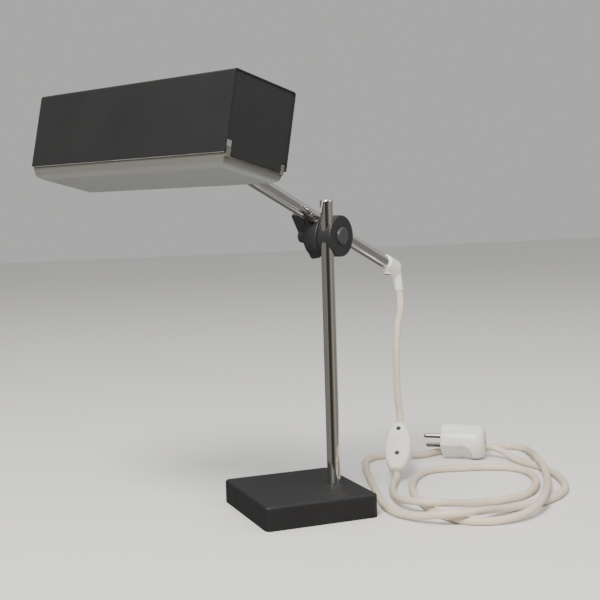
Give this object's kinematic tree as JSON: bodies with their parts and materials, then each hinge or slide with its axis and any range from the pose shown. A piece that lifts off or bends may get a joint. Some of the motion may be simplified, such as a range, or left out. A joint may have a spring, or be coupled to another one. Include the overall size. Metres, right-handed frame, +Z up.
{
  "type": "architect desk lamp",
  "caption": "Desk lamp with a box shade on a sloping arm, a two-disc clamp on an upright stem, a weighted base, and a cord with in-line switch and mains plug.",
  "frame": {"origin": "centre of the base's underside, on the table", "axes": "+Z up, +X along the base's width towards the stem's side, +Y along the base's depth"},
  "size_m": [0.5292, 0.3546, 0.3656],
  "materials": {
    "black_enamel": "satin",
    "black_plastic": "satin",
    "cast_iron": "rough",
    "felt": "felt",
    "chrome": "polished",
    "zinc_steel": "plated",
    "black_steel": "satin",
    "white_enamel": "gloss",
    "opal_acrylic": "opal",
    "white_plastic": "gloss",
    "lamp_brass": "plain",
    "frosted_glass": "frosted",
    "cream_plastic": "satin",
    "cream_cord": "matte",
    "nickel": "plated"
  },
  "bodies": {
    "base": {"base_cover": "black_enamel", "base_weight": "cast_iron", "base_felt": "felt", "cord_floor": "cream_cord", "plug_half_upper": "cream_plastic", "plug_half_lower": "cream_plastic", "plug_pin_left": "nickel", "plug_pin_right": "nickel"},
    "stem": {"stem_tube": "chrome", "stem_cap": "chrome", "stem_washer": "zinc_steel", "stem_nut": "zinc_steel"},
    "clamp_front": {"clamp_front_half": "black_plastic", "clamp_bolt": "black_steel", "clamp_friction_washer": "black_plastic", "wing_nut_washer": "zinc_steel"},
    "clamp_rear": {"clamp_rear_half": "black_plastic"},
    "wing_nut": {"wing_nut": "black_plastic"},
    "arm": {"arm_tube": "chrome", "cord_grip": "cream_plastic", "cord_grip_screw": "zinc_steel", "swivel_socket": "black_plastic"},
    "shade": {"swivel_ball": "chrome", "shade_cover": "black_enamel", "shade_reflector": "white_enamel", "shade_end_left": "black_enamel", "shade_end_right": "black_enamel", "diffuser": "opal_acrylic", "diffuser_clip_left": "zinc_steel", "diffuser_clip_right": "zinc_steel", "holder_bracket": "zinc_steel", "lamp_holder": "white_plastic", "holder_nut": "zinc_steel", "lamp_cap": "lamp_brass", "lamp_glass": "frosted_glass", "swivel_nut": "zinc_steel"},
    "hanging_cord": {"cord_drop_upper": "cream_cord"},
    "hanging_cord_end": {"cord_drop_lower": "cream_cord"},
    "switch": {"switch_screw_half": "cream_plastic", "switch_rocker_half": "cream_plastic", "switch_screw_lower": "black_steel", "switch_screw_upper": "black_steel"},
    "switch_rocker": {"switch_rocker": "cream_plastic"}
  },
  "joints": [
    {"name": "stem_swivel", "type": "hinge", "parent": "base", "child": "stem", "pos_m": [0.0345, 0, 0.1], "axis": [0, 0, 1], "range_deg": [-90, 90], "deforming": ["cord_floor"]},
    {"name": "clamp_height", "type": "slide", "parent": "stem", "child": "clamp_front", "axis": [0, 0, 1], "range_m": [-0.07, 0.01]},
    {"name": "arm_tilt", "type": "hinge", "parent": "clamp_front", "child": "clamp_rear", "pos_m": [0.04461, 0.00647, 0.244], "axis": [-0.5388, 0.8425, 0], "range_deg": [-35, 20]},
    {"name": "wing_nut_turn", "type": "hinge", "parent": "clamp_front", "child": "wing_nut", "pos_m": [0.04461, 0.00647, 0.244], "axis": [-0.5388, 0.8425, 0], "continuous": true},
    {"name": "arm_slide", "type": "slide", "parent": "clamp_rear", "child": "arm", "axis": [0.7849, 0.502, -0.3633], "range_m": [-0.03, 0.02]},
    {"name": "shade_tilt", "type": "hinge", "parent": "arm", "child": "shade", "pos_m": [-0.10158, -0.06899, 0.32075], "axis": [-0.4493, 0.8934, 0], "range_deg": [-20, 20]},
    {"name": "cord_hang", "type": "hinge", "parent": "arm", "child": "hanging_cord", "pos_m": [0.1477, 0.08715, 0.18514], "axis": [-0.5388, 0.8425, 0], "range_deg": [-21, 36]},
    {"name": "cord_give_tilt", "type": "slide", "parent": "hanging_cord", "child": "hanging_cord_end", "axis": [0, 0, 1], "range_m": [-0.082, 0.047], "deforming": ["cord_drop_upper"]},
    {"name": "cord_give_height", "type": "slide", "parent": "hanging_cord_end", "child": "switch", "axis": [0, 0, 1], "range_m": [-0.012, 0.072], "deforming": ["cord_drop_lower"]},
    {"name": "switch_rocker_tilt", "type": "hinge", "parent": "switch", "child": "switch_rocker", "pos_m": [0.13346, 0.0662, 0.02778], "axis": [0.8358, -0.549, 0], "range_deg": [-8, 8]}
  ],
  "couplings": [
    {"joint": "cord_hang", "follows": "arm_tilt", "ratio": -1},
    {"joint": "cord_give_tilt", "follows": "arm_tilt", "m_per_rad": 0.1312},
    {"joint": "cord_give_height", "follows": "clamp_height", "ratio": -1}
  ]
}
